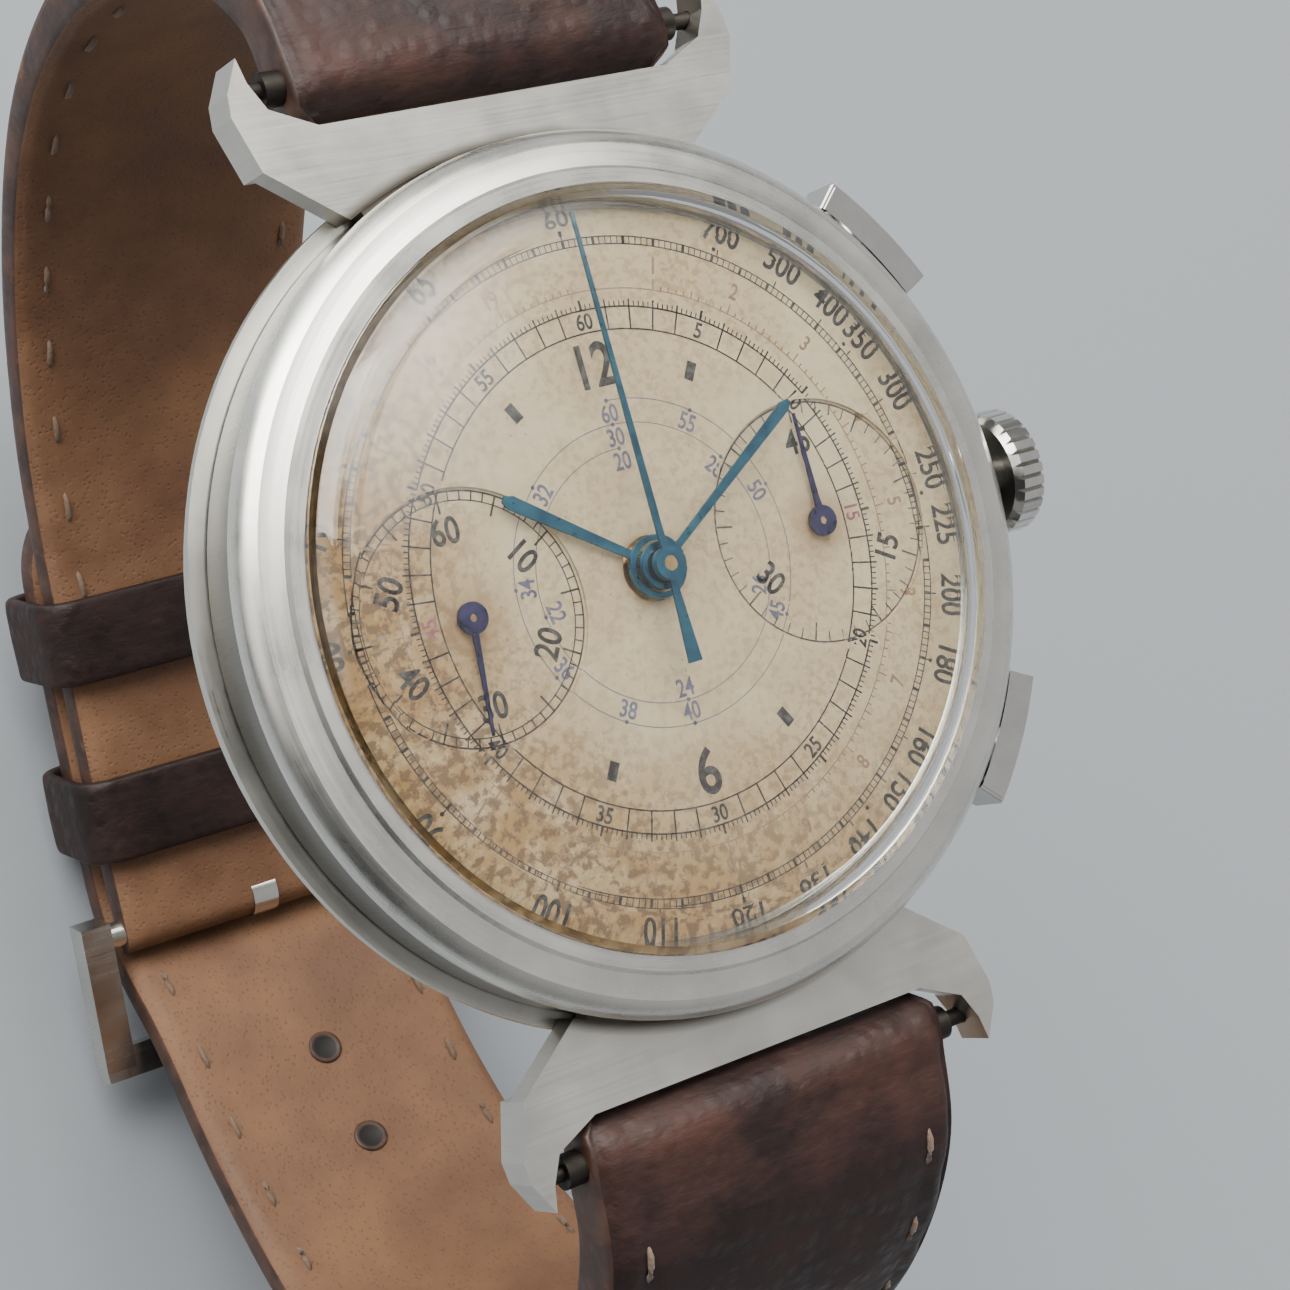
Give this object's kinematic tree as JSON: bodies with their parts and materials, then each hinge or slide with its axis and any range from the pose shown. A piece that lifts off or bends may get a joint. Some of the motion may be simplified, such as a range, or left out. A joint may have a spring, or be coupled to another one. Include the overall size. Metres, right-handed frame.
{
  "type": "wrist chronograph",
  "caption": "Mechanical wrist chronograph with two subdials, two push buttons, crown, hooded lugs and a buckled leather strap, with its wheel train and chronograph work inside.",
  "frame": {"origin": "centre of the case back's flat face", "axes": "+Z out of the back through the dial, +Y to 12 o'clock, +X to 3 o'clock and the crown"},
  "size_m": [0.0382, 0.07, 0.0562],
  "materials": {
    "case_steel": "satin",
    "bezel_steel": "polished and lightly brushed",
    "crown_steel": "polished",
    "crystal": "clear acrylic",
    "dial_lacquer": "aged cream lacquer",
    "blued_steel": "heat blued",
    "nickel_plate": "nickel plated, striped",
    "wheel_brass": "gilt",
    "movement_steel": "polished",
    "spring_steel": "blued",
    "ruby": "polished synthetic ruby",
    "strap_leather": "glossy creased calf",
    "buckle_steel": "polished"
  },
  "bodies": {
    "case": {"case_middle": "case_steel", "bezel": "bezel_steel", "crystal": "crystal", "case_back": "case_steel", "lug_hoods": "case_steel", "spring_bars": "movement_steel", "crown_tube": "crown_steel", "pusher_tubes": "crown_steel", "spring_start": "spring_steel", "spring_reset": "spring_steel", "dial": "dial_lacquer", "main_plate": "nickel_plate", "barrel_bridge": "nickel_plate", "train_bridge": "nickel_plate", "balance_cock": "nickel_plate", "pallet_cock": "nickel_plate", "chronograph_bridge": "nickel_plate", "jewels": "ruby", "movement_screws": "movement_steel", "mainspring": "spring_steel", "hairspring": "spring_steel", "strap_buckle_half": "strap_leather", "strap_hole_half": "strap_leather", "keeper_fixed": "strap_leather"},
    "fourth_wheel": {"fourth_wheel": "wheel_brass", "driving_wheel": "wheel_brass", "small_seconds_hand": "blued_steel"},
    "center_wheel": {"center_wheel": "wheel_brass", "cannon_pinion": "movement_steel", "minute_hand": "blued_steel"},
    "third_wheel": {"third_wheel": "wheel_brass"},
    "escape_wheel": {"escape_wheel": "movement_steel"},
    "mainspring_barrel": {"mainspring_barrel": "wheel_brass"},
    "minute_wheel": {"minute_wheel": "wheel_brass"},
    "hour_wheel": {"hour_wheel": "wheel_brass", "hour_hand": "blued_steel"},
    "pallet_fork": {"pallet_fork": "movement_steel"},
    "balance_wheel": {"balance_wheel": "wheel_brass"},
    "coupling_lever": {"coupling_lever": "movement_steel"},
    "coupling_wheel": {"coupling_wheel": "wheel_brass"},
    "chronograph_runner": {"chrono_runner_wheel": "wheel_brass", "chronograph_hand": "blued_steel"},
    "minute_counter": {"minute_counter_wheel": "wheel_brass", "minute_counter_hand": "blued_steel"},
    "intermediate_wheel": {"intermediate_wheel": "wheel_brass"},
    "column_wheel": {"column_wheel": "movement_steel"},
    "operating_lever": {"operating_lever": "movement_steel"},
    "reset_hammer": {"reset_hammer": "movement_steel"},
    "pusher_start": {"pusher_start": "crown_steel"},
    "pusher_reset": {"pusher_reset": "crown_steel"},
    "winding_pinion": {"winding_pinion": "movement_steel"},
    "crown": {"crown": "crown_steel", "winding_stem": "crown_steel"},
    "crown_wheel": {"crown_wheel": "movement_steel"},
    "ratchet_wheel": {"ratchet_wheel": "movement_steel", "barrel_arbor": "movement_steel"},
    "click": {"click": "movement_steel"},
    "buckle_frame": {"buckle_frame": "buckle_steel"},
    "buckle_tongue": {"buckle_tongue": "buckle_steel"},
    "keeper_free": {"keeper_free": "strap_leather"}
  },
  "joints": [
    {"name": "seconds_turn", "type": "hinge", "parent": "case", "child": "fourth_wheel", "pos_m": [-0.00817, 0, 0.0045], "axis": [0, 0, -1], "continuous": true},
    {"name": "minutes_turn", "type": "hinge", "parent": "case", "child": "center_wheel", "pos_m": [0, 0, 0.0045], "axis": [0, 0, -1], "continuous": true},
    {"name": "third_wheel_turn", "type": "hinge", "parent": "case", "child": "third_wheel", "pos_m": [-0.00469, 0.00159, 0.0045], "axis": [0, 0, -1], "continuous": true},
    {"name": "escape_wheel_turn", "type": "hinge", "parent": "case", "child": "escape_wheel", "pos_m": [-0.00752, -0.00368, 0.0045], "axis": [0, 0, -1], "continuous": true},
    {"name": "barrel_turn", "type": "hinge", "parent": "case", "child": "mainspring_barrel", "pos_m": [0.0038, 0.00585, 0.004], "axis": [0, 0, -1], "continuous": true},
    {"name": "minute_wheel_turn", "type": "hinge", "parent": "case", "child": "minute_wheel", "pos_m": [0.00187, -0.00187, 0.0062], "axis": [0, 0, -1], "continuous": true},
    {"name": "hours_turn", "type": "hinge", "parent": "case", "child": "hour_wheel", "pos_m": [0, 0, 0.007], "axis": [0, 0, -1], "continuous": true},
    {"name": "pallet_fork_rock", "type": "hinge", "parent": "case", "child": "pallet_fork", "pos_m": [-0.00556, -0.00595, 0.00478], "axis": [0, 0, -1], "range_deg": [-4, 4]},
    {"name": "balance_swing", "type": "hinge", "parent": "case", "child": "balance_wheel", "pos_m": [-0.0018, -0.0103, 0.00425], "axis": [0, 0, -1], "range_deg": [-270, 270], "deforming": ["hairspring"]},
    {"name": "coupling_lever_rock", "type": "hinge", "parent": "case", "child": "coupling_lever", "pos_m": [-0.00817, 0, 0.0021], "axis": [0, 0, -1], "range_deg": [0, 4]},
    {"name": "coupling_wheel_turn", "type": "hinge", "parent": "coupling_lever", "child": "coupling_wheel", "pos_m": [-0.00432, 0.00213, 0.0024], "axis": [0, 0, -1], "continuous": true},
    {"name": "chronograph_turn", "type": "hinge", "parent": "case", "child": "chronograph_runner", "pos_m": [0, 0, 0.0024], "axis": [0, 0, -1], "continuous": true},
    {"name": "minute_counter_turn", "type": "hinge", "parent": "case", "child": "minute_counter", "pos_m": [0.00817, 0, 0.0024], "axis": [0, 0, -1], "continuous": true},
    {"name": "intermediate_wheel_turn", "type": "hinge", "parent": "case", "child": "intermediate_wheel", "pos_m": [0.005, 0.00115, 0.0024], "axis": [0, 0, -1], "continuous": true},
    {"name": "column_wheel_turn", "type": "hinge", "parent": "case", "child": "column_wheel", "pos_m": [0.0099, 0.0092, 0.002], "axis": [0, 0, -1], "continuous": true},
    {"name": "start_press", "type": "slide", "parent": "case", "child": "pusher_start", "axis": [-1, 0, 0], "range_m": [0, 0.0006], "stiffness_N_per_m": 600, "springref_m": -0.001, "deforming": ["spring_start"]},
    {"name": "reset_press", "type": "slide", "parent": "case", "child": "pusher_reset", "axis": [-1, 0, 0], "range_m": [0, 0.0006], "stiffness_N_per_m": 600, "springref_m": -0.001, "deforming": ["spring_reset"]},
    {"name": "operating_lever_rock", "type": "hinge", "parent": "case", "child": "operating_lever", "pos_m": [0.012, 0.0053, 0.0027], "axis": [0, 0, 1], "range_deg": [0, 6.6]},
    {"name": "reset_hammer_rock", "type": "hinge", "parent": "case", "child": "reset_hammer", "pos_m": [0.011, -0.0052, 0.0019], "axis": [0, 0, -1], "range_deg": [0, 6.4]},
    {"name": "crown_turn", "type": "hinge", "parent": "case", "child": "winding_pinion", "pos_m": [0.0118, 0, 0.0052], "axis": [1, 0, 0], "continuous": true},
    {"name": "crown_pull", "type": "slide", "parent": "winding_pinion", "child": "crown", "axis": [1, 0, 0], "range_m": [0, 0.001]},
    {"name": "crown_wheel_turn", "type": "hinge", "parent": "case", "child": "crown_wheel", "pos_m": [0.0102, 0.0016, 0.0028], "axis": [0, 0, -1], "continuous": true},
    {"name": "ratchet_wheel_turn", "type": "hinge", "parent": "case", "child": "ratchet_wheel", "pos_m": [0.0038, 0.00585, 0.0028], "axis": [0, 0, -1], "continuous": true},
    {"name": "click_rock", "type": "hinge", "parent": "case", "child": "click", "pos_m": [0.00569, 0.0129, 0.0027], "axis": [0, 0, 1], "range_deg": [0, 8]},
    {"name": "buckle_frame_swing", "type": "hinge", "parent": "case", "child": "buckle_frame", "pos_m": [0, -0.011, -0.041], "axis": [1, 0, 0], "range_deg": [0, 8]},
    {"name": "buckle_tongue_lift", "type": "hinge", "parent": "buckle_frame", "child": "buckle_tongue", "pos_m": [0, -0.011, -0.041], "axis": [1, 0, 0], "range_deg": [0, 30]},
    {"name": "keeper_slide", "type": "slide", "parent": "case", "child": "keeper_free", "axis": [0, 0.9806, 0.1961], "range_m": [-0.0035, 0.002]}
  ],
  "couplings": [
    {"joint": "minutes_turn", "follows": "seconds_turn", "ratio": 0.016667},
    {"joint": "third_wheel_turn", "follows": "seconds_turn", "ratio": -0.13333},
    {"joint": "escape_wheel_turn", "follows": "seconds_turn", "ratio": -10},
    {"joint": "barrel_turn", "follows": "seconds_turn", "ratio": -0.0020833},
    {"joint": "minute_wheel_turn", "follows": "seconds_turn", "ratio": -0.0055556},
    {"joint": "hours_turn", "follows": "seconds_turn", "ratio": 0.0013889},
    {"joint": "coupling_wheel_turn", "follows": "seconds_turn", "ratio": -1.75},
    {"joint": "minute_counter_turn", "follows": "chronograph_turn", "ratio": 0.022222},
    {"joint": "intermediate_wheel_turn", "follows": "chronograph_turn", "ratio": -0.033333},
    {"joint": "operating_lever_rock", "follows": "start_press", "rad_per_m": 188.68},
    {"joint": "reset_hammer_rock", "follows": "reset_press", "rad_per_m": 185.19},
    {"joint": "crown_wheel_turn", "follows": "crown_turn", "ratio": 0.59091},
    {"joint": "ratchet_wheel_turn", "follows": "crown_turn", "ratio": -0.23636}
  ]
}
